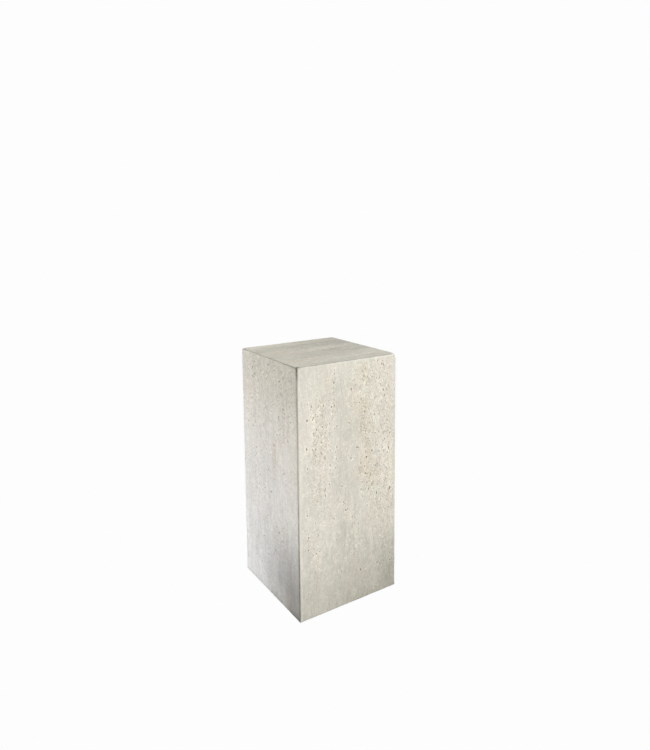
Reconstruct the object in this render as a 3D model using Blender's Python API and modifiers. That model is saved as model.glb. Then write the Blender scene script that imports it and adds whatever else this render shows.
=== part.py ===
"""Travertine pillar: one upright square block of stone that stands by its own weight.

Units are metres, +Z is up, and the origin is the centre of the underside. The
block is a plain prism on a square plan. Its vertical arrises and the four arrises
round the top are eased to a small radius, and the four round the base are eased a
little less, so that the foot keeps a crisp line on the floor.

The two faces that meet at the front arris look along -Y, the porous face, and
along -X, the smoother and greyer one.
"""

import math

import bmesh
import bpy
from mathutils import Matrix, Vector

# ---------------------------------------------------------------- dimensions
WIDTH = 0.350  # along X
DEPTH = 0.350  # along Y
HEIGHT = 0.750  # along Z

ARRIS_R = 0.0045  # eased radius of the upright arrises and of the top's
BASE_ARRIS_R = 0.0030  # eased radius of the arrises that meet the floor
ARRIS_SEGMENTS = 5

# ------------------------------------------------------------------ material
STONE_RGB = (0.665, 0.632, 0.558)  # linear, a pale grey cream
STONE_ROUGHNESS = 0.78
STONE_METALLIC = 0.0

COLLECTION = "travertine_pillar"


def clear_scene():
    """Leave nothing of the start-up file behind."""
    for ob in list(bpy.data.objects):
        bpy.data.objects.remove(ob, do_unlink=True)
    for mesh in list(bpy.data.meshes):
        if mesh.users == 0:
            bpy.data.meshes.remove(mesh)


def stone_material():
    mat = bpy.data.materials.new("travertine")
    mat.use_nodes = True
    bsdf = mat.node_tree.nodes["Principled BSDF"]
    bsdf.inputs["Base Color"].default_value = (*STONE_RGB, 1.0)
    bsdf.inputs["Roughness"].default_value = STONE_ROUGHNESS
    bsdf.inputs["Metallic"].default_value = STONE_METALLIC
    mat.diffuse_color = (*STONE_RGB, 1.0)
    mat.roughness = STONE_ROUGHNESS
    mat.metallic = STONE_METALLIC
    return mat


def move_to_collection(ob, name):
    coll = bpy.data.collections.get(name)
    if coll is None:
        coll = bpy.data.collections.new(name)
        bpy.context.scene.collection.children.link(coll)
    for old in list(ob.users_collection):
        old.objects.unlink(ob)
    coll.objects.link(ob)


def set_bevel_weights(mesh):
    """Full weight on the upright and top arrises, less on those round the base."""
    bm = bmesh.new()
    bm.from_mesh(mesh)
    layer = bm.edges.layers.float.get("bevel_weight_edge")
    if layer is None:
        layer = bm.edges.layers.float.new("bevel_weight_edge")
    low = min(v.co.z for v in bm.verts)
    for edge in bm.edges:
        at_base = all(abs(v.co.z - low) < 1e-6 for v in edge.verts)
        edge[layer] = BASE_ARRIS_R / ARRIS_R if at_base else 1.0
    bm.to_mesh(mesh)
    bm.free()


def build_pillar():
    bpy.ops.mesh.primitive_cube_add(size=1.0, location=(0.0, 0.0, 0.0))
    ob = bpy.context.object
    ob.name = "pillar"
    ob.data.name = "pillar"

    # real size, with the scale applied and the origin at the underside's centre
    size = Vector((WIDTH, DEPTH, HEIGHT))
    ob.data.transform(Matrix.Diagonal((*size, 1.0)))
    ob.data.transform(Matrix.Translation((0.0, 0.0, HEIGHT / 2.0)))

    set_bevel_weights(ob.data)
    bevel = ob.modifiers.new("eased_arrises", "BEVEL")
    bevel.limit_method = "WEIGHT"
    bevel.offset_type = "OFFSET"
    bevel.width = ARRIS_R
    bevel.segments = ARRIS_SEGMENTS
    bevel.profile = 0.5
    bevel.use_clamp_overlap = False

    ob.data.materials.append(stone_material())
    ob.data.shade_smooth()
    ob.data.set_sharp_from_angle(angle=math.radians(40.0))
    move_to_collection(ob, COLLECTION)
    return ob


clear_scene()
build_pillar()
bpy.context.view_layer.update()
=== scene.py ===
import math

import bpy
import numpy as np
from mathutils import Matrix, Vector, geometry, noise


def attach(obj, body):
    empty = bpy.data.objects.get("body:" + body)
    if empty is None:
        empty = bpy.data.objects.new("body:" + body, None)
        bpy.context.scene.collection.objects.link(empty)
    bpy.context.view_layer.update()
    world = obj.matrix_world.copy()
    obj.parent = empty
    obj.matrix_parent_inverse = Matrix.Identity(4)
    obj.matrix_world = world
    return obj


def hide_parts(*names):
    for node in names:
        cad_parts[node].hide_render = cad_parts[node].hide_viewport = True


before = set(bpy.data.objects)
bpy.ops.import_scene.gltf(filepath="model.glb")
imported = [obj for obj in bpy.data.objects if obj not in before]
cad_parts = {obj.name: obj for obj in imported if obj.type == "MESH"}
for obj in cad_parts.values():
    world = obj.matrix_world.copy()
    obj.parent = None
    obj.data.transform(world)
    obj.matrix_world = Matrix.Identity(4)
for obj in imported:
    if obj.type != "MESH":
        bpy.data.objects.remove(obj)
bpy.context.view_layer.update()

# ---------------------------------------------------------------------------
# The pillar: one square block of vein-cut travertine, 350 x 350 x 750 mm.
# Lengths in this part are millimetres; the finished mesh is in metres.
#
# The stone's beds stand upright and run along X. So the -Y and +Y faces are cut
# along the beds and show broad upright bands full of open pores, the -X and +X
# faces are cut across them and show fine upright streaks, and the top shows
# streaks that run along X.
# ---------------------------------------------------------------------------
WX, WY, H = 350.0, 350.0, 750.0
R = 4.5  # eased radius of the upright and top arrises
R_BASE = 3.0  # eased radius round the base
BLEND = 20.0  # height over which the upright arrises come down to R_BASE
STEP_ON_ARRIS = 4.2  # spacing of the vertices along an arris
ARRIS_ROWS = (0.0, 1.90, 3.29, 4.50)  # 45, 30, 15 and 0 degrees round the easing

rng = np.random.default_rng(20417)


def smooth(x, lo, hi):
    t = np.clip((np.asarray(x, float) - lo) / (hi - lo), 0.0, 1.0)
    return t * t * (3.0 - 2.0 * t)


def field(p, size, octaves=3, seed=0.0):
    """Gradient noise at points p, with one wavelength per axis, about -1 to 1."""
    q = p / np.asarray(size, float) + seed * 17.31
    return np.array(
        [noise.fractal(Vector(v), 0.9, 2.03, octaves) for v in q], float
    )


class Side:
    """One face of the sharp-cornered block: a corner, two edges and the way it looks."""

    def __init__(self, name, corner, u, v, size):
        self.name = name
        self.corner = np.array(corner, float)
        self.u = np.array(u, float)
        self.v = np.array(v, float)
        self.size = size
        self.normal = np.cross(self.u, self.v)

    def place(self, uv):
        return self.corner + uv[:, :1] * self.u + uv[:, 1:] * self.v

    def flat(self, p):
        d = p - self.corner
        return np.stack([d @ self.u, d @ self.v], 1)


X0, X1, Y0, Y1 = -WX / 2, WX / 2, -WY / 2, WY / 2
SIDES = [
    Side("porous", (X0, Y0, 0), (1, 0, 0), (0, 0, 1), (WX, H)),
    Side("grey", (X0, Y1, 0), (0, -1, 0), (0, 0, 1), (WY, H)),
    Side("right", (X1, Y0, 0), (0, 1, 0), (0, 0, 1), (WY, H)),
    Side("back", (X1, Y1, 0), (-1, 0, 0), (0, 0, 1), (WX, H)),
    Side("top", (X0, Y0, H), (1, 0, 0), (0, 1, 0), (WX, WY)),
    Side("under", (X0, Y1, 0), (1, 0, 0), (0, -1, 0), (WX, WY)),
]


# ---------------------------------------------------------------------------
# How porous the stone is. Each band is (centre across, half width, from, to,
# strength), in mm from the side's left edge and from its top.
# ---------------------------------------------------------------------------
BANDS = {
    "porous": [
        (74, 26, 90, 270, 1.00),
        (121, 7, 40, 140, 1.30),
        (58, 34, 250, 400, 0.42),
        (96, 26, 280, 460, 0.45),
        (228, 36, 20, 180, 0.80),
        (236, 26, 180, 400, 0.80),
        (305, 40, 20, 250, 0.85),
        (318, 34, 240, 460, 0.95),
        (275, 30, 330, 480, 0.80),
        (190, 16, 440, 600, 0.55),
        (55, 34, 480, 620, 0.45),
        (312, 38, 460, 730, 0.70),
        (160, 16, 360, 470, 0.45),
    ],
    "grey": [
        (190, 150, -60, 150, 0.55),
        (256, 30, 70, 240, 0.95),
        (94, 22, 40, 110, 0.80),
        (120, 60, 120, 330, 0.40),
        (210, 26, 240, 360, 0.60),
        (60, 40, 330, 520, 0.45),
        (150, 40, 380, 520, 0.45),
        (236, 38, 500, 590, 1.05),
        (320, 24, 30, 420, 0.50),
    ],
    "right": [
        (70, 24, 60, 300, 0.70),
        (150, 20, 200, 520, 0.55),
        (250, 36, 20, 260, 0.60),
        (300, 20, 300, 600, 0.45),
    ],
    "back": [
        (90, 34, 40, 340, 0.80),
        (180, 22, 160, 480, 0.65),
        (285, 36, 80, 300, 0.70),
        (250, 30, 400, 620, 0.50),
    ],
    "top": [(120, 90, 70, 170, 0.5), (240, 90, 190, 260, 0.5)],
    "under": [],
}
EVENLY = {
    "porous": 0.15, "grey": 0.40, "right": 0.14, "back": 0.14, "top": 0.3, "under": 0.0,
}


def porosity(side, uv):
    """From 0 to about 1.3: how open the stone is at points of one side."""
    across, down = uv[:, 0], side.size[1] - uv[:, 1]
    total = np.full(len(uv), EVENLY[side.name])
    p = side.place(uv)
    wander = 9.0 * field(p, (260, 260, 150), 2, 3.0)
    for centre, half, top, low, strength in BANDS[side.name]:
        near = np.exp(-(((across + wander - centre) / half) ** 2))
        ends = smooth(down, top - 30, top + 25) * (1 - smooth(down, low - 30, low + 40))
        total = total + strength * near * ends
    # the pores keep to upright strings
    total = total * (1.0 + 0.75 * field(p, (15, 20, 95), 3, 8.0))
    if side.size[1] > 500:
        total = total * (1.0 - (0.40 if side.name == "porous" else 0.1) * smooth(down, 470, 620))
    return np.clip(total, 0.02, 1.6)


# ---------------------------------------------------------------------------
# Pores, as lobes. A lobe is an uneven oval with steep walls; two or three that
# meet make one ragged pore. A dish is a wide shallow hollow.
# ---------------------------------------------------------------------------
class Lobe:
    def __init__(self, at, a, b, deep, turn, dish=False):
        self.at, self.a, self.b, self.deep, self.dish = at, a, b, deep, dish
        self.c, self.s = math.cos(turn), math.sin(turn)
        self.amp = rng.uniform(0.02, 0.13, 3) * (0.5 if dish else 1.0)
        self.ph = rng.uniform(0, 2 * math.pi, 3)
        self.tilt = rng.uniform(-0.12, 0.12, 2)

    def rim(self, theta):
        out = 1.0
        for k, n in enumerate((2, 3, 5)):
            out = out + self.amp[k] * np.cos(n * theta + self.ph[k])
        return out

    def ring(self, share, count, start):
        theta = start + 2 * math.pi * np.arange(count) / count
        r = share * self.rim(theta)
        x, y = r * self.a * np.cos(theta), r * self.b * np.sin(theta)
        return np.stack(
            [self.at[0] + x * self.c - y * self.s, self.at[1] + x * self.s + y * self.c],
            1,
        )

    def share(self, uv):
        d = uv - self.at
        x = (d[:, 0] * self.c + d[:, 1] * self.s) / self.a
        y = (-d[:, 0] * self.s + d[:, 1] * self.c) / self.b
        return np.hypot(x, y) / self.rim(np.arctan2(y, x)), x, y

    def depth(self, uv):
        r, x, y = self.share(uv)
        if self.dish:
            return self.deep * np.clip(1 - r * r, 0, 1) ** 1.5
        wall = np.interp(r, (0.0, 0.42, 0.8, 1.0), (1.0, 0.93, 0.70, 0.0))
        return self.deep * wall * (1 + self.tilt[0] * x + self.tilt[1] * y)

    def reach(self):
        return max(self.a, self.b) * 1.3


def rings_of(lobe):
    """The vertices that carry one lobe: its rim, its wall, its floor."""
    if lobe.dish:
        plan = ((1.0, 9), (0.66, 7), (0.33, 4), (0.0, 1))
    elif lobe.a * lobe.b < 0.75:
        plan = ((1.0, 7), (0.72, 5), (0.0, 1))
    elif lobe.a * lobe.b < 3.2:
        plan = ((1.0, 10), (0.80, 8), (0.40, 4), (0.0, 1))
    else:
        plan = ((1.0, 15), (0.81, 13), (0.52, 8), (0.22, 3))
    out = []
    for share, count in plan:
        start = rng.uniform(0, 2 * math.pi / max(count, 1))
        pts = lobe.ring(share, count, start)
        out.append((share, pts))
    return out


# Pores bold enough to be told apart, as (across, down, half width, half length).
BOLD = {
    "porous": [
        (122, 59, 1.7, 2.3), (121, 86, 1.3, 1.9), (121, 108, 1.3, 1.6),
        (113, 128, 2.0, 2.6), (60, 141, 1.3, 1.7), (52, 149, 1.5, 1.9),
        (232, 33, 1.7, 2.0), (260, 42, 1.3, 1.7), (308, 56, 1.3, 1.9),
        (300, 106, 1.6, 3.4), (305, 123, 1.4, 2.4), (211, 131, 1.6, 1.8),
        (192, 128, 1.3, 1.6), (202, 265, 2.2, 2.5), (243, 247, 1.7, 2.0),
        (237, 303, 2.3, 2.9), (233, 353, 2.7, 2.5), (240, 357, 1.6, 1.9),
        (312, 352, 1.8, 2.1), (327, 421, 2.2, 2.9), (341, 260, 1.5, 2.0),
        (297, 286, 1.7, 2.1), (28, 432, 1.7, 2.0), (32, 499, 1.8, 2.3),
        (31, 537, 1.8, 2.0), (68, 552, 1.8, 2.0), (161, 450, 1.9, 3.1),
        (200, 491, 1.5, 1.8), (194, 582, 1.4, 1.8), (278, 652, 2.0, 2.2),
        (288, 660, 1.4, 1.7), (308, 484, 1.3, 1.6), (137, 331, 1.3, 1.6),
        (177, 186, 1.3, 1.5), (64, 502, 1.2, 2.6), (268, 176, 1.4, 2.0),
    ],
    "grey": [
        (269, 136, 1.9, 2.5), (276, 147, 1.4, 2.0), (242, 165, 1.4, 2.6),
        (271, 203, 1.5, 2.0), (248, 178, 1.2, 1.8), (92, 72, 0.9, 6.0),
        (76, 74, 0.8, 5.0), (10, 364, 2.1, 3.4), (171, 349, 1.5, 1.9),
        (106, 416, 1.2, 1.7), (145, 416, 1.1, 1.5), (31, 348, 1.1, 1.6),
        (90, 302, 1.1, 3.6), (90, 322, 1.1, 2.6), (208, 304, 1.2, 3.4),
        (167, 459, 1.1, 3.0), (165, 497, 1.2, 1.7), (254, 543, 1.5, 2.4),
        (218, 541, 1.2, 2.2), (237, 345, 1.2, 2.0), (101, 260, 1.3, 1.8),
        (26, 161, 1.2, 1.6), (52, 138, 1.2, 1.7), (74, 575, 1.1, 1.7),
    ],
}
# how many of each class, as (large, middling, small, dishes, slits)
COUNTS = {
    "porous": (46, 430, 430, 170, 22),
    "grey": (14, 270, 430, 60, 56),
    "right": (12, 160, 380, 40, 20),
    "back": (16, 180, 420, 60, 10),
    "top": (2, 60, 240, 26, 12),
    "under": (0, 0, 0, 0, 0),
}
SPACING = {
    "porous": 8.0, "grey": 8.2, "right": 9.0, "back": 9.0, "top": 8.5, "under": 24.0,
}
EDGE_ROOM = R + 1.2


def make_lobes(side):
    """All the lobes of one side, the large ones first, each kept off the arrises."""
    width, height = side.size
    along_u = side.name == "top"  # there the vein runs across the side
    lobes, taken = [], []

    def inside(at, reach):
        room = EDGE_ROOM + reach
        return room < at[0] < width - room and room < at[1] < height - room

    def add(at, a, b, deep, turn, dish=False):
        if along_u:
            turn += math.pi / 2
        lobes.append(Lobe(np.array(at, float), a, b, deep, turn, dish))

    def pore(at, a, b, ragged):
        lean = rng.normal(0, 0.22)
        deep = min(0.52 * a + 0.75, 2.4) * rng.uniform(0.75, 1.2)
        add(at, a, b, deep, lean)
        if a > 0.75 and rng.random() < ragged:
            for _ in range(rng.integers(1, 3)):
                turn = rng.choice((-1, 1)) * math.pi / 2 + rng.normal(0, 0.55)
                far = rng.uniform(0.75, 1.1)
                off = np.array([math.cos(turn) * a * far, math.sin(turn) * b * far])
                if along_u:
                    off = np.array([-off[1], off[0]])
                part = rng.uniform(0.42, 0.7)
                if inside(np.array(at) + off, b * part):
                    add(np.array(at) + off, a * part, b * part * rng.uniform(0.8, 1.3),
                        deep * rng.uniform(0.55, 0.9), rng.normal(0, 0.4))
        taken.append((at[0], at[1], max(a, b)))

    for across, down, a, b in BOLD.get(side.name, ()):
        pore((across, height - down), 1.28 * a, 1.28 * b, 0.35)

    def draw(count, sizes, aspect, ragged, power):
        done, tries = 0, 0
        while done < count and tries < 60:
            tries += 1
            cand = rng.uniform((0, 0), (width, height), (400, 2))
            keep = rng.random(400) < (porosity(side, cand) / 1.3) ** power
            for at in cand[keep]:
                if done >= count:
                    break
                a = float(np.clip(rng.lognormal(math.log(sizes[0]), sizes[1]), *sizes[2:]))
                b = a * rng.uniform(*aspect)
                if not inside(at, max(a, b) * 1.3):
                    continue
                t = np.array(taken) if taken else np.zeros((0, 3))
                gap = np.hypot(t[:, 0] - at[0], t[:, 1] - at[1]) - t[:, 2] - max(a, b)
                if len(gap) and gap.min() < 0.4 and rng.random() > 0.25:
                    continue
                pore(tuple(at), a, b, ragged)
                done += 1

    large, middle, small, dishes, slits = COUNTS[side.name]
    draw(large, (1.8, 0.13, 1.5, 2.3), (1.0, 1.9), 0.6, 1.3)
    draw(slits, (0.62, 0.15, 0.45, 0.9), (5.0, 11.0), 0.0, 0.7)
    draw(middle, (1.2, 0.18, 0.8, 1.75), (1.0, 2.2), 0.45, 1.3)
    draw(small, (0.60, 0.15, 0.42, 0.78), (1.0, 2.0), 0.0, 1.0)

    done, tries = 0, 0
    while done < dishes and tries < 60:
        tries += 1
        cand = rng.uniform((0, 0), (width, height), (200, 2))
        keep = rng.random(200) < (porosity(side, cand) / 1.3) ** 1.6
        for at in cand[keep]:
            a = rng.uniform(1.8, 4.2)
            b = a * rng.uniform(1.1, 2.4)
            if done >= dishes or not inside(at, b * 1.2):
                continue
            add(at, a, b, rng.uniform(0.25, 0.62), rng.normal(0, 0.2), dish=True)
            done += 1
    return lobes


def depth_of(lobes, uv):
    """How deep each point lies, in pores and in dishes, and whether it is on a pore's rim."""
    order = np.argsort(uv[:, 0], kind="stable")
    x = uv[order, 0]
    pits, dishes, rims = np.zeros(len(uv)), np.zeros(len(uv)), np.zeros(len(uv))
    for lobe in lobes:
        r = lobe.reach() * 1.15
        lo, hi = np.searchsorted(x, (lobe.at[0] - r, lobe.at[0] + r))
        near = order[lo:hi]
        near = near[np.abs(uv[near, 1] - lobe.at[1]) < r]
        if not len(near):
            continue
        d = lobe.depth(uv[near])
        if lobe.dish:
            dishes[near] = np.maximum(dishes[near], d)
        else:
            pits[near] = np.maximum(pits[near], d)
            r = lobe.share(uv[near])[0]
            rims[near] = np.maximum(rims[near], 1 - np.abs(r - 1.06) / 0.16)
    return pits, dishes, rims * (pits < 0.12)


# ---------------------------------------------------------------------------
# Nicks along the arrises. An arris is named by its two corners; a nick is
# (distance along, half length, reach over the sides, depth).
# ---------------------------------------------------------------------------
CORNERS = {
    (i, j, k): np.array([(X0, X1)[i], (Y0, Y1)[j], (0.0, H)[k]])
    for i in (0, 1) for j in (0, 1) for k in (0, 1)
}
ARRISES = []
for i in (0, 1):
    for j in (0, 1):
        ARRISES.append(((i, j, 0), (i, j, 1)))
        ARRISES.append(((0, i, j), (1, i, j)))
        ARRISES.append(((i, 0, j), (i, 1, j)))

NICKS = {a: [] for a in ARRISES}
# the small pale chip on the top's left arris, 118 mm from the far corner
CHIP = WY - 118.0
NICKS[((0, 0, 1), (0, 1, 1))].append((CHIP, 7.5, 5.2, 1.5))
# the top's right front corner, worn rounder than the rest
NICKS[((0, 0, 1), (1, 0, 1))].append((WX - 9.5, 6.0, 4.5, 1.0))
NICKS[((1, 0, 0), (1, 0, 1))].append((H - 9.5, 6.0, 4.5, 1.0))
for a in ARRISES:
    length = np.linalg.norm(CORNERS[a[1]] - CORNERS[a[0]])
    at_base = a[0][2] == 0 and a[1][2] == 0
    upright = a[0][2] != a[1][2]
    count = 7 if at_base else (9 if upright else 5)
    for _ in range(count):
        s = rng.uniform(14, length - 14)
        half = rng.uniform(1.6, 4.2)
        NICKS[a].append((s, half, rng.uniform(1.8, 3.6), rng.uniform(0.35, 1.0)))
# the chip is the only pale spot on the far half of its arris
a = ((0, 0, 1), (0, 1, 1))
NICKS[a] = [nick for nick in NICKS[a] if nick[0] == CHIP or nick[0] < CHIP - 60]


def stations(a):
    """Where the vertices stand along one arris."""
    length = np.linalg.norm(CORNERS[a[1]] - CORNERS[a[0]])
    n = int(round(length / (STEP_ON_ARRIS if a[1][2] or a[0][2] else 6.0)))
    s = list(np.linspace(0, length, n + 1))
    # rows that follow the easing round each corner
    s = [v for v in s if 6.5 < v < length - 6.5]
    s += list(ARRIS_ROWS) + [length - r for r in ARRIS_ROWS]
    for at, half, _, _ in NICKS[a]:
        s = [v for v in s if abs(v - at) > half * 1.25 or v < 5 or v > length - 5]
        s += [at + half * k for k in (-1.1, -0.7, -0.35, 0.0, 0.35, 0.7, 1.1)]
    s = np.array(sorted(set(np.round(s, 4))))
    keep = np.concatenate([[True], np.diff(s) > 0.3])
    keep[-1] = True
    return s[keep]


STATIONS = {a: stations(a) for a in ARRISES}


def nick_depth(q):
    """How far the nicks cut into points of the sharp-cornered block."""
    out = np.zeros(len(q))
    for a in ARRISES:
        p0, p1 = CORNERS[a[0]], CORNERS[a[1]]
        length = np.linalg.norm(p1 - p0)
        d = (p1 - p0) / length
        s = (q - p0) @ d
        off = q - p0 - s[:, None] * d
        t = np.linalg.norm(off, axis=1)
        close = np.flatnonzero(t < 6.0)
        if not len(close):
            continue
        for at, half, reach, deep in NICKS[a]:
            r = ((s[close] - at) / half) ** 2 + (t[close] / reach) ** 2
            out[close] = np.maximum(out[close], deep * np.clip(1 - r, 0, 1) ** 0.7)
    return out


# the corners of the top are rubbed rounder, the right front one most of all, as
# (reach, depth)
RUBBED = {(1, 0, 1): (15.0, 3.0), (0, 0, 1): (11.0, 1.7), (0, 1, 1): (10.0, 1.3),
          (1, 1, 1): (10.0, 1.3)}


def rubbed_depth(q):
    out = np.zeros(len(q))
    for corner, (reach, deep) in RUBBED.items():
        r = np.linalg.norm(q - CORNERS[corner], axis=1) / reach
        out = np.maximum(out, deep * np.clip(1 - r * r, 0, 1) ** 1.3)
    return out


def eased(q):
    """Points of the sharp-cornered block moved onto the eased one, and the normals there."""
    r = R_BASE + (R - R_BASE) * smooth(q[:, 2], R_BASE, R_BASE + BLEND)
    # the top's left arris is rubbed less than the others, away from its corners
    crisp = 1 - smooth(np.hypot(q[:, 0] - X0, H - q[:, 2]), 8.0, 14.0)
    crisp *= 1 - smooth(np.abs(q[:, 1]), WY / 2 - 40.0, WY / 2 - 12.0)
    r = r - 2.0 * crisp
    c = q.copy()
    c[:, 0] = np.clip(q[:, 0], X0 + r, X1 - r)
    c[:, 1] = np.clip(q[:, 1], Y0 + r, Y1 - r)
    c[:, 2] = np.clip(q[:, 2], R_BASE, H - R + 2.0 * crisp)
    d = q - c
    n = d / np.linalg.norm(d, axis=1)[:, None]
    return c + n * r[:, None], n


# ---------------------------------------------------------------------------
# One side's vertices and triangles
# ---------------------------------------------------------------------------
def thin(points, rank, cell):
    """Keeps one point in each cell of two shifted grids, the lowest rank first."""
    keep = np.arange(len(points))
    for shift in (0.0, 0.5):
        order = keep[np.argsort(rank[keep], kind="stable")]
        cells = np.floor(points[order] / cell + shift).astype(np.int64)
        _, first = np.unique(cells[:, 0] * 100_000 + cells[:, 1], return_index=True)
        keep = np.sort(order[first])
    return keep


def build_side(side):
    width, height = side.size
    lobes = make_lobes(side)

    # the border, whose vertices the neighbouring side shares
    border = []
    for a in ARRISES:
        p0, p1 = CORNERS[a[0]], CORNERS[a[1]]
        if abs((p0 - side.corner) @ side.normal) > 1e-6:
            continue
        if abs((p1 - side.corner) @ side.normal) > 1e-6:
            continue
        d = (p1 - p0) / np.linalg.norm(p1 - p0)
        border.append((a, p0 + STATIONS[a][:, None] * d))
    rim = np.unique(np.round(np.concatenate([side.flat(p) for _, p in border]), 4), axis=0)

    # rows over the easing, in step with the border
    rows = []
    for a, pts in border:
        uv = side.flat(pts)
        axis = 0 if np.ptp(uv[:, 0]) < 1e-6 else 1  # the axis across the arris
        lo = uv[0, axis] < 1.0
        for r in ARRIS_ROWS[1:]:
            row = uv.copy()
            row[:, axis] = r if lo else side.size[axis] - r
            other = row[:, 1 - axis]
            row = row[(other >= r - 0.2) & (other <= side.size[1 - axis] - r + 0.2)]
            rows.append(row)
        row = uv[::1].copy()
        inward = 7.4
        row[:, axis] = inward if lo else side.size[axis] - inward
        other = row[:, 1 - axis]
        row = row[(other > inward) & (other < side.size[1 - axis] - inward)]
        rows.append(row[::2] if side.name != "under" else row[::3])
    rows = np.concatenate(rows)

    # an even, slightly shaken net between the pores
    g = SPACING[side.name]
    nx, ny = int(width / g) + 2, int(height / (g * 0.866)) + 2
    i, j = np.meshgrid(np.arange(nx), np.arange(ny))
    net = np.stack([(i + 0.5 * (j % 2)) * g, j * g * 0.866], -1).reshape(-1, 2)
    net = net + rng.uniform(-0.24 * g, 0.24 * g, net.shape)
    room = 10.5 if side.name != "under" else 14
    net = net[
        (net[:, 0] > room) & (net[:, 0] < width - room)
        & (net[:, 1] > room) & (net[:, 1] < height - room)
    ]
    if len(lobes):
        clear = np.ones(len(net), bool)
        for lobe in lobes:
            grown = 1.15 if lobe.dish else 1.0 + 1.7 / min(lobe.a, 2.0)
            r = lobe.reach() * grown + 2
            near = np.flatnonzero(
                (np.abs(net[:, 0] - lobe.at[0]) < r) & (np.abs(net[:, 1] - lobe.at[1]) < r)
            )
            if len(near):
                clear[near] &= lobe.share(net[near])[0] > grown
        net = net[clear]

    parts, ranks = [net], [np.full(len(net), 50.0)]
    for n, lobe in enumerate(lobes):
        for share, pts in rings_of(lobe):
            parts.append(pts)
            ranks.append(np.full(len(pts), (20.0 if lobe.dish else 0.0) + (1 - share)))
    inner = np.concatenate(parts)
    rank = np.concatenate(ranks)
    # a rim vertex that falls inside another pore carries nothing
    if len(lobes):
        pits = depth_of(lobes, inner)[0]
        on_rim = rank < 1e-6
        inner, rank = inner[~(on_rim & (pits > 0.10))], rank[~(on_rim & (pits > 0.10))]
    keep = thin(inner, rank, 0.44)
    inner = inner[keep]

    uv = np.concatenate([rim, rows, inner])
    uv = uv[np.sort(np.unique(np.round(uv, 3), axis=0, return_index=True)[1])]
    _, _, tris, origin, _, _ = geometry.delaunay_2d_cdt(
        [Vector(v) for v in uv], [], [], 0, 1e-4, True
    )
    first = np.array([o[0] for o in origin])
    tris = first[np.array([list(t) for t in tris], np.int64)]
    a, b, c = uv[tris[:, 0]], uv[tris[:, 1]], uv[tris[:, 2]]
    area = (b[:, 0] - a[:, 0]) * (c[:, 1] - a[:, 1]) - (b[:, 1] - a[:, 1]) * (c[:, 0] - a[:, 0])
    tris[area < 0] = tris[area < 0][:, ::-1]

    open_ = porosity(side, uv) if side.name != "under" else np.full(len(uv), 0.1)
    return uv, tris, depth_of(lobes, uv), open_


def build_block():
    """The whole block as one closed mesh, and what its vertices know of the stone."""
    verts, tris, corner_uv = [], [], []
    pits, dishes, rims, opens = [], [], [], []
    known = {}
    # each side's place on the bake's map: low corner and size, in shares
    gap = 0.006
    col = (1 - 4 * gap) / 3
    tall = (1 - 3 * gap) / 2
    atlas = {
        "porous": (gap, gap, col, tall),
        "grey": (2 * gap + col, gap, col, tall),
        "right": (gap, 2 * gap + tall, col, tall),
        "back": (2 * gap + col, 2 * gap + tall, col, tall),
        "top": (3 * gap + 2 * col, gap, col, 0.40),
        "under": (3 * gap + 2 * col, 0.44, col, 0.30),
    }
    for side in SIDES:
        uv, faces, (pit, dish, rim), open_ = build_side(side)
        q = side.place(uv)
        on_border = (
            (uv[:, 0] < 1e-6) | (uv[:, 0] > side.size[0] - 1e-6)
            | (uv[:, 1] < 1e-6) | (uv[:, 1] > side.size[1] - 1e-6)
        )
        index = np.empty(len(uv), np.int64)
        for n in range(len(uv)):
            if on_border[n]:
                key = tuple(np.round(q[n], 2))
                if key in known:
                    index[n] = known[key]
                    continue
                known[key] = len(verts)
            index[n] = len(verts)
            verts.append(q[n])
            pits.append(pit[n])
            dishes.append(dish[n])
            rims.append(rim[n])
            opens.append(open_[n])
        tris.append(index[faces])
        x, y, w, h = atlas[side.name]
        corner_uv.append(
            (uv[faces.ravel()] / np.array(side.size) * (w, h) + (x, y)).reshape(-1, 2)
        )
        print(side.name, len(uv), "vertices", len(faces), "triangles")
    q = np.array(verts)
    tris = np.concatenate(tris)
    corner_uv = np.concatenate(corner_uv)
    pits, dishes, rims, opens = map(np.array, (pits, dishes, rims, opens))

    p, n = eased(q)
    # distance from the nearest arris, on the sharp-cornered block
    near = np.sort(
        np.stack([WX / 2 - np.abs(q[:, 0]), WY / 2 - np.abs(q[:, 1]),
                  np.minimum(q[:, 2], H - q[:, 2])], 1), axis=1)[:, 1]
    nick = nick_depth(q)
    # the saw and the hand leave the faces a little uneven, and the arrises more
    wave = 0.10 * np.clip(0.5 + field(q, (70, 70, 130), 3, 1.0), 0, 1)
    bitten = (1 - smooth(near, 1.0, 6.5)) * (
        0.34 * np.clip(0.25 + field(q, (16, 16, 16), 3, 5.0), 0, 1)
    )
    rough = 0.22 * smooth(opens, 0.55, 1.2) * np.clip(
        0.4 + field(q, (5.0, 5.0, 8.0), 2, 6.0), 0, 1)
    inward = pits + dishes + np.maximum(nick, rubbed_depth(q)) + wave + bitten + rough
    flat_under = n[:, 2] < -0.999
    inward[flat_under] = 0.0
    p = p - n * inward[:, None]
    print(len(q), "vertices", len(tris), "triangles in all")
    return q, p, n, tris, corner_uv, pits, dishes, rims, opens, near, nick


q, p, n, tris, corner_uv, pits, dishes, rims, opens, near, nick = build_block()

mesh = bpy.data.meshes.new("pillar_stone")
mesh.vertices.add(len(p))
mesh.vertices.foreach_set("co", (p / 1000.0).astype(np.float32).ravel())
mesh.loops.add(tris.size)
mesh.loops.foreach_set("vertex_index", tris.astype(np.int32).ravel())
mesh.polygons.add(len(tris))
mesh.polygons.foreach_set("loop_start", np.arange(0, tris.size, 3, dtype=np.int32))
mesh.update(calc_edges=True)
mesh.validate()
uv_layer = mesh.uv_layers.new(name="OFBake")
uv_layer.uv.foreach_set("vector", corner_uv.astype(np.float32).ravel())


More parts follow.
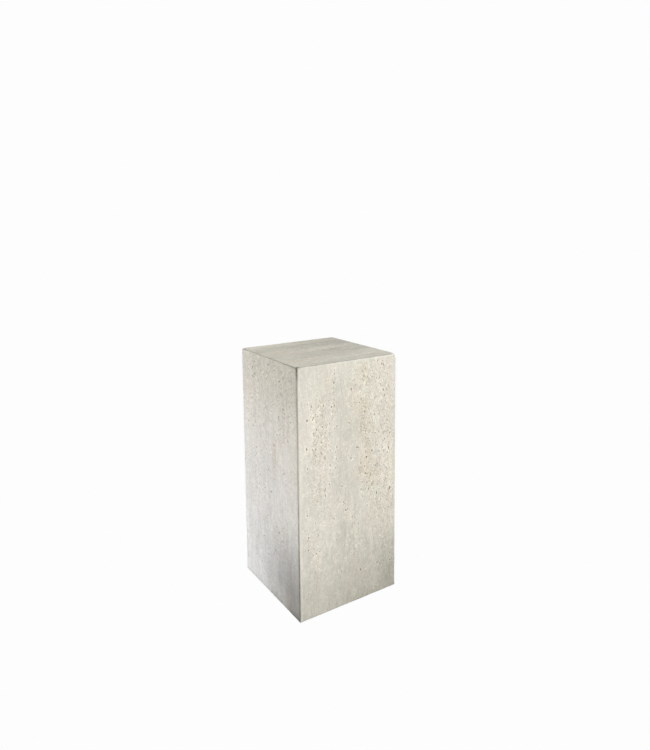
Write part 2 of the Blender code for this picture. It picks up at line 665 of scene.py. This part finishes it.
def give(name, values):
    layer = mesh.attributes.new(name, "FLOAT", "POINT")
    layer.data.foreach_set("value", np.asarray(values, np.float32))


# ---------------------------------------------------------------------------
# What each vertex tells the material
# ---------------------------------------------------------------------------
# pit: 1 inside a pore. open: how porous the stone is. The dark line along the
# arrises is painted shade on their easing. warm: rust-brown against blue-grey. tone: paler or
# darker stone, in broad upright streaks.
down = H - q[:, 2]
on_top = n[:, 2] > 0.9


def window(x, centre, half):
    return np.exp(-(((x - centre) / half) ** 2))


def between(x, lo, hi, soft=40):
    return smooth(x, lo - soft, lo + soft) * (1 - smooth(x, hi - soft, hi + soft))


front = window(n[:, 1], -1.0, 0.45)
left = window(n[:, 0], -1.0, 0.45)
ax = q[:, 0] - X0  # across the porous side
ay = Y1 - q[:, 1]  # across the grey side, and from the back over the top

warm = (0.55 - 0.15 * front) * field(q, (120, 40, 420), 3, 11.0)
warm += front * (
    0.66 * window(ax, 222, 66) * between(down, 170, 400)
    + 0.58 * window(ax, 212, 58) * between(down, 0, 170)
    + 0.60 * window(ax, 105, 20) * between(down, 20, 90)
    + 0.40 * window(ax, 285, 34) * between(down, 330, 520)
    + 0.50 * window(ax, 236, 20) * between(down, 460, 590)
    - 0.12 * window(ax, 146, 22) * between(down, 50, 320)
    - 0.30 * window(ax, 88, 34) * between(down, 200, 430)
    - 0.25 * window(ax, 50, 40) * between(down, 470, 600)
    - 0.55 * window(ax, 205, 30) * between(down, 370, 450)
    - 0.25 * window(ax, 272, 26) * between(down, 140, 330)
    - 0.85 * smooth(ax, 240, 320)
)
warm += left * (
    0.45 * window(ay, 50, 55) * between(down, 50, 250)
    + 0.15 * window(ay, 150, 50) * between(down, 0, 260)
    + 1.00 * window(ay, 208, 14) * between(down, 255, 315, 34)
    + 0.90 * window(ay, 88, 10) * between(down, 275, 335, 24)
    + 0.22 * (1 - smooth(ay, 70, 130)) * between(down, 80, 190, 35)
    + 0.40 * smooth(ay, 230, 320) * smooth(down, 540, 640)
)
# rose against green
warm += front * 0.36 * field(q, (44, 40, 62), 3, 19.0) * window(ax, 215, 80)
warm += on_top * 0.35
rose = 0.20 * front + left * (
    0.9 * window(ay, 290, 50) * between(down, 150, 350)
    + 0.3 * window(ay, 55, 40) * between(down, 80, 170)
    - 1.2 * smooth(ay, 40, 150) * (1 - smooth(down, 50, 190))
    - 0.7 * (1 - smooth(ay, 110, 190)) * (1 - smooth(down, 50, 120))
)
tone = 0.60 * field(q, (60, 18, 330), 3, 12.0)
# the grey beds in the middle of the porous side are broken up by paler ones
tone += front * 0.85 * field(q, (17, 20, 52), 3, 41.0) * (
    window(ax, 160, 52) * between(down, 30, 470))
tone += front * (
    0.45 * (1 - smooth(down, 30, 120))
    + 0.60 * window(ax, 40, 24) * between(down, 40, 260)
    + 0.85 * window(ax, 296, 34) * between(down, 60, 330)
    + 2.25 * window(ax, 325, 36) * between(down, 345, 560)
    + 0.90 * window(ax, 325, 36) * between(down, 260, 345)
    + 1.70 * window(ax, 254, 8) * between(down, 390, 560)
    + 1.50 * window(ax, 45, 50) * smooth(down, 650, 740)
    - 1.40 * window(ax, 138, 38) * between(down, 20, 400)
    - 0.50 * window(ax, 40, 42) * between(down, 380, 560)
    + 1.70 * window(ax, 278, 22) * between(down, 355, 445, 25)
    + 2.70 * window(ax, 328, 30) * smooth(down, 696, 735)
    - 0.45 * window(ax, 215, 34) * between(down, 170, 330)
    - 0.40 * window(ax, 120, 22) * between(down, 420, 600)
    + 1.85 * window(ax, 215, 44) * smooth(down, 630, 730)
    - 1.00 * window(ax, 125, 32) * smooth(down, 570, 700)
    - 2.30 * window(ax, 322, 38) * smooth(down, 540, 700)
)
tone += left * (
    - 1.25 * smooth(ay, 20, 110) * (1 - smooth(down, 50, 190))
    - 0.85 * window(ay, 140, 46) * between(down, 90, 400, 60)
    - 0.40 * window(ay, 30, 50) * between(down, 200, 480)
    + 1.15 * smooth(ay, 235, 325) * between(down, 190, 540, 60)
    + 2.30 * window(ay, 229, 7) * between(down, 170, 290, 25)
    - 1.00 * window(ay, 88, 8) * between(down, 275, 335, 20)
    - 0.60 * window(ay, 202, 8) * between(down, 260, 330, 24)
    + 0.60 * window(ay, 78, 30) * between(down, 450, 570, 30)
    - 0.60 * (1 - smooth(ay, 150, 260)) * between(down, 330, 610)
    + 1.90 * window(ay, 184, 8) * between(down, 515, 610, 22)
    - 0.90 * window(ay, 160, 13) * between(down, 490, 720, 50)
    - 1.10 * window(ay, 268, 16) * between(down, 40, 170, 40)
    + 1.90 * field(q, (60, 15, 170), 3, 31.0) * smooth(down, 380, 560)
    + 1.60 * field(q, (60, 17, 90), 3, 33.0) * (1 - smooth(down, 60, 260))
    + 0.80 * smooth(ay, 240, 320) * between(down, 95, 200, 30)
    + 0.60 * window(ay, 120, 50) * between(down, 370, 480, 40)
    + 2.50 * window(ay, 250, 62) * smooth(down, 650, 720)
    + 1.30 * window(ay, 75, 32) * smooth(down, 640, 730)
    + 0.40 * smooth(ay, 250, 320) * between(down, 380, 470, 30)
    - 1.20 * window(ay, 128, 9) * between(down, 10, 60, 16)
)

# darker towards the base, most of all by the front arris: partly painted shade near the floor,
# partly grey smoke stain
base_shade_and_smoke = 0.02 * smooth(down, 380, 750)
base_shade_and_smoke = base_shade_and_smoke + left * 0.36 * (
    smooth(down, 478, 622) * (1 - smooth(down, 665, 740)) * smooth(ay, 110, 262))
base_shade_and_smoke = base_shade_and_smoke + left * 0.12 * smooth(down, 600, 700) * smooth(ay, 240, 320)
base_shade_and_smoke = base_shade_and_smoke + front * 0.05 * smooth(down, 560, 750) * smooth(ax, 230, 345)

# the painted shade along each arris, a dark line on the side of its easing turned from the
# light, as (lean, half width, strength); the lean is in mm towards the first of its two sides,
# taken in the order X, Y, Z
SHADE_LINES = {
    ((0, 0, 0), (0, 0, 1)): (2.1, 2.7, 0.95),
    ((0, 0, 1), (0, 1, 1)): (-0.2, 1.7, 0.12),
    ((0, 0, 1), (1, 0, 1)): (-2.6, 2.2, 0.72),
    ((1, 0, 1), (1, 1, 1)): (-1.4, 2.6, 0.70),
    ((0, 1, 1), (1, 1, 1)): (-1.0, 1.8, 0.15),
    ((0, 0, 0), (0, 1, 0)): (0.0, 1.8, 0.00),
}
# and the painted highlight beside it, paler stone on the side of the easing turned to the light,
# in the same terms
HIGHLIGHT_LINES = {
    ((0, 0, 0), (0, 0, 1)): (-5.6, 2.5, 0.46),
    ((0, 0, 1), (1, 0, 1)): (2.2, 2.6, 0.40),
    ((0, 0, 1), (0, 1, 1)): (0.3, 3.4, 1.00),
    ((0, 0, 0), (0, 1, 0)): (0.0, 2.6, 0.30),
}
# on the top the beds show as streaks along X, the darkest ones here
tone = tone + on_top * (
    1.9 * field(q, (170, 19, 50), 3, 21.0)
    + 1.1 * field(q, (95, 12, 50), 2, 23.0)
    - 1.4 * window(ay, 67 + 6 * np.sin(q[:, 0] / 60), 20)
    - 1.2 * window(ay, 205 + 9 * np.sin(q[:, 0] / 75), 24)
    - 1.0 * window(ay, 333, 11)
    + 0.9 * window(ay, 130, 26) + 0.7 * window(ay, 285, 30)
    - 0.7 * between(q[:, 0], 20, 400) * window(ay, 20, 26)
    + 0.9 * (1 - smooth(ax, 40, 130)) * (1 - smooth(ay, 40, 120))
    - 1.1 * smooth(ax, 200, 330) * (1 - smooth(ay, 120, 240))
    + 0.5 * (1 - smooth(ax, 60, 140)) * smooth(ay, 240, 300)
    - 1.2 * smooth(ax, 60, 160) * between(ay, 70, 260)
    - 0.9 * smooth(ax, 140, 240) * (1 - smooth(ay, 70, 140))
    - 0.2 * smooth(ax, 300, 345) * (1 - smooth(ay, 200, 300))
    + 1.5 * window(ay, 0, 34) * (1 - smooth(ax, 80, 260))
    + 1.2 * window(ay, 18, 26) * (1 - smooth(ax, 130, 230))
)

# painted shade and painted highlight along the arrises: a dark line where each easing turns from
# the light, and paler stone where it turns to it
arris_shade, arris_highlight = np.zeros(len(q)), np.zeros(len(q))
for a in ARRISES:
    p0, p1 = CORNERS[a[0]], CORNERS[a[1]]
    length = np.linalg.norm(p1 - p0)
    d = (p1 - p0) / length
    s = (q - p0) @ d
    off = q - p0 - s[:, None] * d
    first, second = [
        np.eye(3)[k] * (1 if a[0][k] else -1) for k in range(3) if a[0][k] == a[1][k]
    ]
    signed = off @ first - off @ second
    close = np.linalg.norm(off, axis=1) < 14.0
    at_base = a[0][2] == 0 and a[1][2] == 0
    lean, half, strength = SHADE_LINES.get(a, (0.3, 1.8, 0.30 if at_base else 0.22))
    if a == ((0, 0, 0), (0, 0, 1)):  # the front arris is darkest and widest at its top
        lean = lean - 0.9 * smooth(s, 690, 735)
        half = half + 2.0 * smooth(s, 680, 735)
        strength = strength - 0.12 * between(s, 480, 690, 30) + 0.45 * smooth(s, 700, 735)
    arris_shade = np.maximum(arris_shade, close * strength * window(signed, lean, half))
    if a in HIGHLIGHT_LINES:
        lean, half, strength = HIGHLIGHT_LINES[a]
        pale = strength * close * window(signed, lean, half)
        if a[0][2] and a[1][1]:  # the top's left arris is dark only by the front corner
            pale *= 0.50 + 0.50 * smooth(s, 60, 210)
            # and the stone is bare round the chip, and painted paler there as a highlight on its
            # lit side
            pale = np.maximum(
                pale, close * 1.5 * window(s, CHIP, 7.5) * window(signed, 4.2, 4.2))
        arris_highlight = np.maximum(arris_highlight, pale)
arris_shade *= np.clip(0.90 + 0.60 * field(q, (22, 22, 46), 3, 14.0), 0.25, 1.15)
arris_shade *= 1.0 - 0.9 * smooth(nick, 0.2, 0.6)

give("pit", np.clip(pits / (1.75 - 0.40 * left), 0, 1))
seen = np.where(on_top, opens * 0.35, opens)
keen = 0.50 + 0.58 * seen + front * (
    - 0.13 * between(down, 230, 480)
    + 0.12 * smooth(ax, 150, 230) * smooth(down, 480, 600)
) + left * (0.10 + 0.16 * (1 - smooth(down, 180, 300)) + 0.06 * smooth(down, 450, 550))

give("open", seen)
give("keen", keen)
# the painted shade along the arrises
give("arris_shade", np.clip(arris_shade, 0, 1.25))
give("warm", warm)
give("tone", tone)
give("rose", rose)
# paler stone: fresh in the nicks, and the painted highlight along the arrises and round the chip
give("fresh_and_highlight", np.clip(np.maximum(0.40 * smooth(nick, 0.15, 0.6), arris_highlight), 0, 1.25))
# the pores' rims, which the material paints paler as a highlight
give("rim", np.clip(rims, 0, 1))
# darker towards the base: partly painted shade near the floor, partly smoke stain
give("base_shade_and_smoke", np.clip(base_shade_and_smoke, 0, 1))

mesh.shade_smooth()
mesh.set_sharp_from_angle(angle=math.radians(34))

stone = bpy.data.objects.new("pillar_stone", mesh)
bpy.context.scene.collection.objects.link(stone)


# ---------------------------------------------------------------------------
# The stone's material
# ---------------------------------------------------------------------------
class Net:
    """Short calls for a material's nodes."""

    def __init__(self, mat):
        mat.use_nodes = True
        self.tree = mat.node_tree
        self.tree.nodes.clear()

    def node(self, kind, **settings):
        made = self.tree.nodes.new(kind)
        for key, value in settings.items():
            setattr(made, key, value)
        return made

    def put(self, socket, value):
        if isinstance(value, bpy.types.NodeSocket):
            self.tree.links.new(value, socket)
        else:
            socket.default_value = value

    def math(self, operation, a, b=0.0, c=None, clamp=False):
        m = self.node("ShaderNodeMath", operation=operation, use_clamp=clamp)
        self.put(m.inputs[0], a)
        self.put(m.inputs[1], b)
        if c is not None:
            self.put(m.inputs[2], c)
        return m.outputs[0]

    def scale(self, vector, by):
        m = self.node("ShaderNodeVectorMath", operation="MULTIPLY")
        self.put(m.inputs[0], vector)
        self.put(m.inputs[1], by)
        return m.outputs[0]

    def add(self, vector, other):
        m = self.node("ShaderNodeVectorMath", operation="ADD")
        self.put(m.inputs[0], vector)
        self.put(m.inputs[1], other)
        return m.outputs[0]

    def noise(self, vector, detail=3.0, rough=0.55, distortion=0.0):
        m = self.node("ShaderNodeTexNoise", noise_dimensions="3D")
        self.put(m.inputs["Vector"], vector)
        m.inputs["Scale"].default_value = 1.0
        m.inputs["Detail"].default_value = detail
        m.inputs["Roughness"].default_value = rough
        m.inputs["Distortion"].default_value = distortion
        return m.outputs["Fac"]

    def cells(self, vector, feature="F1"):
        m = self.node("ShaderNodeTexVoronoi", voronoi_dimensions="3D", feature=feature)
        self.put(m.inputs["Vector"], vector)
        m.inputs["Scale"].default_value = 1.0
        return m

    def steps(self, value, lo, hi, out_lo=0.0, out_hi=1.0):
        m = self.node("ShaderNodeMapRange", interpolation_type="SMOOTHSTEP")
        self.put(m.inputs["Value"], value)
        m.inputs["From Min"].default_value = lo
        m.inputs["From Max"].default_value = hi
        m.inputs["To Min"].default_value = out_lo
        m.inputs["To Max"].default_value = out_hi
        return m.outputs["Result"]

    def mix(self, factor, a, b, blend="MIX"):
        m = self.node("ShaderNodeMix", data_type="RGBA", blend_type=blend)
        self.put(m.inputs[0], factor)
        self.put(m.inputs[6], a)
        self.put(m.inputs[7], b)
        return m.outputs[2]

    def grey(self, value):
        m = self.node("ShaderNodeCombineColor")
        for k in range(3):
            self.put(m.inputs[k], value)
        return m.outputs[0]

    def known(self, name):
        return self.node("ShaderNodeAttribute", attribute_name=name).outputs["Fac"]


def travertine():
    mat = bpy.data.materials.new("travertine_stone")
    net = Net(mat)
    out = net.node("ShaderNodeOutputMaterial")
    bsdf = net.node("ShaderNodeBsdfPrincipled")
    net.tree.links.new(bsdf.outputs[0], out.inputs["Surface"])

    where = net.node("ShaderNodeTexCoord").outputs["Object"]
    mm = net.scale(where, (1000.0, 1000.0, 1000.0))
    pit, open_, arris_shade, rim = (net.known(k) for k in ("pit", "open", "arris_shade", "rim"))
    warm, tone, fresh_and_highlight, base_shade_and_smoke = (net.known(k) for k in ("warm", "tone", "fresh_and_highlight", "base_shade_and_smoke"))
    rosy = net.known("rose")

    # beds: wavelengths in mm along X, Y and Z
    def beds(x, y, z, **kw):
        return net.noise(net.scale(mm, (1 / x, 1 / y, 1 / z)), **kw)

    streak = beds(30, 9, 130, detail=4.0, rough=0.6)
    band = beds(70, 20, 200, detail=3.0, rough=0.62)
    vein = beds(11, 14, 80, detail=3.0, rough=0.6)
    fine = beds(5.5, 6.0, 26, detail=3.0, rough=0.6)
    mottle = beds(8, 10, 19, detail=4.0, rough=0.62)
    grit = beds(3.6, 5.2, 7.6, detail=2.0, rough=0.6)
    dash = beds(2.5, 4.2, 8.4, detail=1.0, rough=0.5)
    speck = beds(2.3, 3.4, 3.3, detail=2.0, rough=0.6)
    grain = beds(0.8, 0.8, 0.9, detail=2.0, rough=0.5)

    # open and closed micro-pores in the porous beds, drawn out along the vein
    cell = net.cells(net.scale(mm, (1 / 3.2, 1 / 3.6, 1 / 6.2)))
    chance = net.node("ShaderNodeSeparateColor")
    net.put(chance.inputs[0], cell.outputs["Color"])
    radius = net.math("MULTIPLY_ADD", chance.outputs[0], 0.34, 0.04)
    have = net.math("LESS_THAN", chance.outputs[1],
                    net.math("MULTIPLY_ADD", open_, 0.52, 0.05))
    hole = net.math("SUBTRACT", radius, cell.outputs["Distance"])
    hole = net.math("MULTIPLY", net.steps(hole, -0.05, 0.07), have)
    # and crystals of pale calcite between them
    crystal = net.cells(net.scale(net.add(mm, (41.0, 17.0, 23.0)), (1 / 4.4, 1 / 3.6, 1 / 6.0)))
    luck = net.node("ShaderNodeSeparateColor")
    net.put(luck.inputs[0], crystal.outputs["Color"])
    pale = net.math("SUBTRACT", net.math("MULTIPLY_ADD", luck.outputs[0], 0.36, 0.05),
                    crystal.outputs["Distance"])
    pale = net.math("MULTIPLY", net.steps(pale, -0.10, 0.10),
                    net.math("LESS_THAN", luck.outputs[1],
                             net.math("MULTIPLY_ADD", open_, 0.30, 0.14)))

    # paleness as one factor: the broad streaks everywhere, the fine marks most of all
    # where the stone is open
    light = net.math("MULTIPLY_ADD", tone, 0.055, 1.0)
    for value, share in ((streak, 0.15), (band, 0.24), (vein, 0.20), (fine, 0.30)):
        light = net.math("MULTIPLY_ADD", net.math("SUBTRACT", value, 0.5), share, light)
    height = net.node("ShaderNodeSeparateXYZ")
    net.put(height.inputs[0], mm)
    low = net.steps(height.outputs["Z"], 330.0, 170.0)
    lively = net.math("MULTIPLY_ADD", low, 0.10, net.known("keen"))
    marks = net.math("MULTIPLY", net.math("SUBTRACT", mottle, 0.5), 0.18)
    for value, share in ((grit, 0.46), (dash, 0.42), (speck, 0.40), (grain, 0.12)):
        marks = net.math("MULTIPLY_ADD", net.math("SUBTRACT", value, 0.5), share, marks)
    light = net.math("MULTIPLY_ADD", marks, lively, light)
    light = net.math("MULTIPLY_ADD", net.math("SUBTRACT", mottle, 0.5),
                     net.math("MULTIPLY", low, 0.26), light)
    light = net.math("MULTIPLY_ADD", pale, 0.20, light)
    # the pores' rims are painted paler: a painted highlight where their edges catch the light
    light = net.math("MULTIPLY_ADD", rim, 0.20, light)

    base = (0.628, 0.611, 0.550, 1.0)
    colour = net.mix(1.0, base, net.grey(light), "MULTIPLY")
    warmth = net.math("ADD", warm, net.math(
        "MULTIPLY", net.math("SUBTRACT", mottle, 0.5), 1.2))
    rust = net.steps(warmth, 0.0, 1.3)
    blue = net.steps(net.math("MULTIPLY", warmth, -1.0), 0.0, 1.3)
    colour = net.mix(net.math("MULTIPLY", rust, 0.75), colour,
                     net.mix(1.0, colour, (0.985, 0.928, 0.868, 1.0), "MULTIPLY"))
    colour = net.mix(net.math("MULTIPLY", blue, 0.75), colour,
                     net.mix(1.0, colour, (0.972, 0.968, 0.985, 1.0), "MULTIPLY"))
    # some beds lean to rose, others to green
    rose = net.math("MULTIPLY_ADD", rosy, 0.16, beds(46, 16, 130, detail=2.0, rough=0.5))
    colour = net.mix(net.math("MULTIPLY", net.steps(rose, 0.50, 0.72), 0.8), colour,
                     net.mix(1.0, colour, (1.012, 0.978, 0.985, 1.0), "MULTIPLY"))
    colour = net.mix(net.math("MULTIPLY", net.steps(rose, 0.50, 0.28), 0.8), colour,
                     net.mix(1.0, colour, (0.988, 0.998, 0.975, 1.0), "MULTIPLY"))
    # thin brown outlines where the growth rings of the old reeds are cut through
    ring = net.math("ABSOLUTE", net.math("SUBTRACT", beds(11, 12, 15, detail=1.0, rough=0.5,
                                                          distortion=0.6), 0.5))
    ring = net.math("MULTIPLY", net.steps(ring, 0.040, 0.010), net.math(
        "MULTIPLY_ADD", rust, 0.30, net.math("MULTIPLY", net.steps(open_, 0.25, 1.0), 0.40)))
    colour = net.mix(ring, colour, (0.50, 0.415, 0.315, 1.0))
    # the porous beds carry a brown stain round their holes
    stain = net.math("MULTIPLY", net.steps(open_, 0.35, 1.2), net.steps(grit, 0.50, 0.68))
    colour = net.mix(net.math("MULTIPLY", stain, 0.28), colour, (0.48, 0.40, 0.305, 1.0))
    # short dark dashes where a pore is closed just under the skin
    closed = net.math("MULTIPLY", net.steps(dash, 0.60, 0.76),
                      net.math("MULTIPLY_ADD", open_, 0.45, 0.35))
    colour = net.mix(net.math("MULTIPLY", closed, 0.42), colour, (0.37, 0.32, 0.24, 1.0))
    colour = net.mix(net.math("MULTIPLY", hole, 0.62), colour, (0.33, 0.275, 0.20, 1.0))
    # darker towards the base, caught in upright streaks: partly painted shade near the floor,
    # partly smoke stain
    streaked_shade_and_smoke = net.math("MULTIPLY", base_shade_and_smoke, net.steps(band, 0.30, 0.70, 0.60, 1.40))
    colour = net.mix(net.math("MULTIPLY", streaked_shade_and_smoke, 1.0, clamp=True), colour,
                     (0.225, 0.215, 0.205, 1.0))
    colour = net.mix(net.math("MULTIPLY", pit, 0.86), colour, (0.250, 0.203, 0.146, 1.0))
    # paler stone in the nicks, and the painted highlight on the arrises' lit side and round the
    # chip
    colour = net.mix(net.math("MULTIPLY", fresh_and_highlight, 0.80), colour, (0.86, 0.84, 0.785, 1.0))
    # the painted shade along the arrises
    colour = net.mix(net.math("MULTIPLY", arris_shade, 0.80), colour, (0.20, 0.192, 0.165, 1.0))
    net.put(bsdf.inputs["Base Color"], colour)

    rough = net.math("MULTIPLY_ADD", mottle, 0.16, 0.60)
    rough = net.math("MULTIPLY_ADD", hole, 0.15, rough)
    rough = net.math("MULTIPLY_ADD", pit, 0.22, rough, clamp=True)
    net.put(bsdf.inputs["Roughness"], rough)
    bsdf.inputs["Metallic"].default_value = 0.0
    bsdf.inputs["IOR"].default_value = 1.5

    # height in mm: grain, worn mottle, micro-pores
    high = net.math("MULTIPLY", grain, 0.05)
    for value, share in ((speck, 0.16), (grit, 0.26), (mottle, 0.14), (fine, 0.08),
                         (hole, -0.45), (closed, -0.20)):
        high = net.math("MULTIPLY_ADD", value, share, high)
    bump = net.node("ShaderNodeBump")
    bump.inputs["Strength"].default_value = 1.0
    bump.inputs["Distance"].default_value = 0.001
    net.put(bump.inputs["Height"], high)
    net.put(bsdf.inputs["Normal"], bump.outputs["Normal"])
    return mat


stone.data.materials.append(travertine())
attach(stone, "root")
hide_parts("pillar")


# ---------------------------------------------------------------------------
# The studio: a plain white floor, a white surround and soft light
# ---------------------------------------------------------------------------
def plane(name, half, at, mat):
    me = bpy.data.meshes.new(name)
    me.from_pydata(
        [(-half, -half, 0), (half, -half, 0), (half, half, 0), (-half, half, 0)],
        [], [(0, 1, 2, 3)],
    )
    me.materials.append(mat)
    ob = bpy.data.objects.new(name, me)
    ob.location = at
    bpy.context.scene.collection.objects.link(ob)
    return ob


def floor_material():
    """White paper: even and bright to the eye, and a quiet grey to the light it returns."""
    mat = bpy.data.materials.new("studio_floor")
    net = Net(mat)
    out = net.node("ShaderNodeOutputMaterial")
    glow = net.node("ShaderNodeEmission")
    glow.inputs["Color"].default_value = (0.982, 0.982, 0.982, 1.0)
    glow.inputs["Strength"].default_value = 1.0
    matt = net.node("ShaderNodeBsdfDiffuse")
    matt.inputs["Color"].default_value = (0.30, 0.30, 0.30, 1.0)
    ray = net.node("ShaderNodeLightPath")
    pick = net.node("ShaderNodeMixShader")
    net.put(pick.inputs[0], ray.outputs["Is Camera Ray"])
    net.put(pick.inputs[1], matt.outputs[0])
    net.put(pick.inputs[2], glow.outputs[0])
    net.tree.links.new(pick.outputs[0], out.inputs["Surface"])
    return mat


floor = plane("studio_floor", 12.0, (0, 0, -0.0002), floor_material())

world = bpy.data.worlds.new("studio")
bpy.context.scene.world = world
wnet = Net(world)
wout = wnet.node("ShaderNodeOutputWorld")
shown = wnet.node("ShaderNodeBackground")
shown.inputs["Color"].default_value = (0.982, 0.982, 0.982, 1.0)
lit = wnet.node("ShaderNodeBackground")
lit.inputs["Color"].default_value = (1.0, 1.0, 1.0, 1.0)
# the surround is brightest high on the right, and fades evenly from there
aim = wnet.node("ShaderNodeVectorMath", operation="DOT_PRODUCT")
wnet.put(aim.inputs[0], wnet.node("ShaderNodeTexCoord").outputs["Generated"])
aim.inputs[1].default_value = (math.cos(math.radians(48)), 0.0, math.sin(math.radians(48)))
glow = wnet.math("POWER", wnet.math("MAXIMUM", aim.outputs["Value"], 0.0), 4.0)
wnet.put(lit.inputs["Strength"], wnet.math("MULTIPLY", glow, 2.80))
ray = wnet.node("ShaderNodeLightPath")
pick = wnet.node("ShaderNodeMixShader")
wnet.put(pick.inputs[0], ray.outputs["Is Camera Ray"])
wnet.put(pick.inputs[1], lit.outputs[0])
wnet.put(pick.inputs[2], shown.outputs[0])
wnet.tree.links.new(pick.outputs[0], wout.inputs["Surface"])


def softbox(name, at, look, size, power, colour=(1.0, 1.0, 1.0), tall=None):
    data = bpy.data.lights.new(name, "AREA")
    data.shape = "RECTANGLE"
    data.size, data.size_y = size, tall or size
    data.energy = power
    data.color = colour
    ob = bpy.data.objects.new(name, data)
    ob.location = at
    ob.rotation_mode = "QUATERNION"
    ob.rotation_quaternion = (Vector(look) - Vector(at)).to_track_quat("-Z", "Y")
    ob.visible_camera = False
    bpy.context.scene.collection.objects.link(ob)
    return ob


def panel(name, x, y, glow):
    """A light panel lying on the floor, from x[0] to x[1] and y[0] to y[1]."""
    wide, deep = x[1] - x[0], y[1] - y[0]
    at = (x[0] + wide / 2, y[0] + deep / 2, 0.002)
    peak = max(glow)
    ob = softbox(name, at, (at[0], at[1], 1.0), wide, math.pi * wide * deep * peak,
                 tuple(c / peak for c in glow), deep)
    ob.rotation_quaternion = (0.0, 1.0, 0.0, 0.0)
    return ob


softbox("box_right", (1.4, -1.6, 1.0), (0, 0, 0.45), 1.2, 27.0, (1.0, 0.975, 0.865))
softbox("box_left_high", (-1.6, 0.2, 2.0), (0, 0, 0.45), 1.2, 7.6, (1.0, 0.935, 0.76))
softbox("box_left_low", (-0.9, 0.9, 0.2), (0, 0, 0.2), 0.9, 5.5, (0.87, 0.88, 1.0), 0.35)
panel("panel_left", (-1.2, -0.475), (0.0, 0.9), (2.85, 3.0, 3.6))
panel("panel_left_near", (-0.475, -0.177), (0.12, 0.32), (1.22, 1.27, 1.42))
panel("panel_left_mid", (-0.475, -0.177), (0.0, 0.12), (1.12, 1.16, 1.27))
panel("panel_left_end", (-0.475, -0.177), (-0.12, 0.0), (0.42, 0.43, 0.46))
panel("panel_left_front", (-1.2, -0.475), (-0.5, 0.0), (0.60, 0.60, 0.62))
panel("panel_left_far", (-3.0, -1.2), (-1.5, 1.5), (1.34, 1.19, 0.60))
panel("panel_front", (-0.9, 0.0), (-1.2, -0.475), (2.48, 2.43, 2.50))
panel("panel_front_near", (-0.3, 0.0), (-0.475, -0.175), (0.43, 0.43, 0.43))
panel("panel_front_far", (-1.5, 1.5), (-3.0, -1.2), (1.70, 1.74, 1.85))
# and one behind, for the side that the camera doesn't see
softbox("box_back", (0.1, 1.7, 0.36), (0, 0, 0.36), 1.3, 13.0, (1.0, 0.98, 0.94), 0.6)

# ---------------------------------------------------------------------------
# The camera, from the pillar's own vanishing points
# ---------------------------------------------------------------------------
right = Vector((0.83963875, -0.54307897, -0.00848531))
below = Vector((-0.07483334, -0.10019589, -0.99214956))
ahead = Vector((0.53796537, 0.83368220, -0.12476877))
spot = Vector((-0.98404907, -1.57452334, 1.12208073))
camera_data = bpy.data.cameras.new("camera")
camera = bpy.data.objects.new("camera", camera_data)
turn = Matrix((right, -below, -ahead)).transposed().to_4x4()
camera.matrix_world = Matrix.Translation(spot) @ turn
camera_data.sensor_fit = "AUTO"
camera_data.sensor_width = 36.0
camera_data.lens = 605.4417 / 750.0 * 36.0
camera_data.shift_x = 0.0
camera_data.shift_y = (306.367 - 375.0) / 750.0
camera_data.clip_start, camera_data.clip_end = 0.05, 100.0
bpy.context.scene.collection.objects.link(camera)
bpy.context.scene.camera = camera

bpy.context.scene.view_settings.view_transform = "Standard"
bpy.context.scene.view_settings.look = "None"

bpy.context.view_layer.update()
